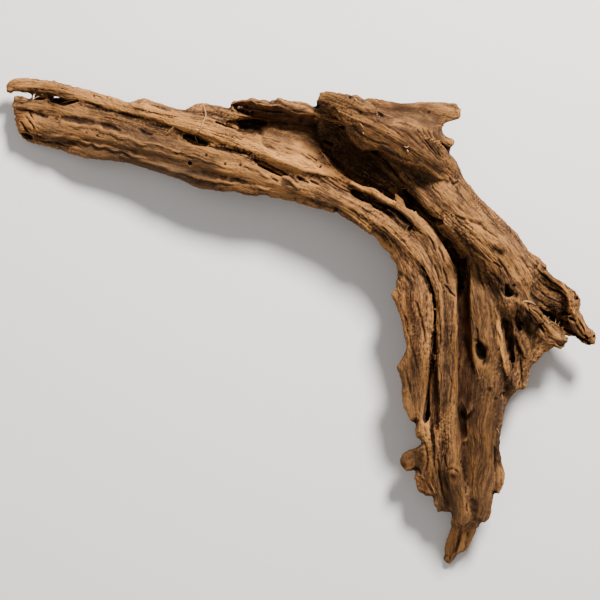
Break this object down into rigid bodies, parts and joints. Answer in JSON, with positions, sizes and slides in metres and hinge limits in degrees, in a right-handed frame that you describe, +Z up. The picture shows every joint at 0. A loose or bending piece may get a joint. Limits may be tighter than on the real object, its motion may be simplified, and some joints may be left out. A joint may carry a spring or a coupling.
{
  "type": "mangrove root",
  "caption": "Weathered branching driftwood root: a long tapering limb, a heavy hollowed crown with a horn and a spur, and a deeply grooved leg, lying on its back",
  "frame": {"origin": "on the floor, under the middle of the root's bounding box, as it lies on its back", "axes": "+X along the long limb from its free end towards the crown and spur, +Y from the leg's toe up to the horn, +Z up, away from the floor"},
  "size_m": [0.4498, 0.3748, 0.0898],
  "materials": {
    "weathered_wood": "dry weathered root wood, matt, deeply grained, dark in the grooves"
  },
  "bodies": {
    "root": {"crown": "weathered_wood", "long_limb": "weathered_wood", "leg": "weathered_wood", "right_spur": "weathered_wood", "horn": "weathered_wood", "knob": "weathered_wood"}
  },
  "joints": []
}
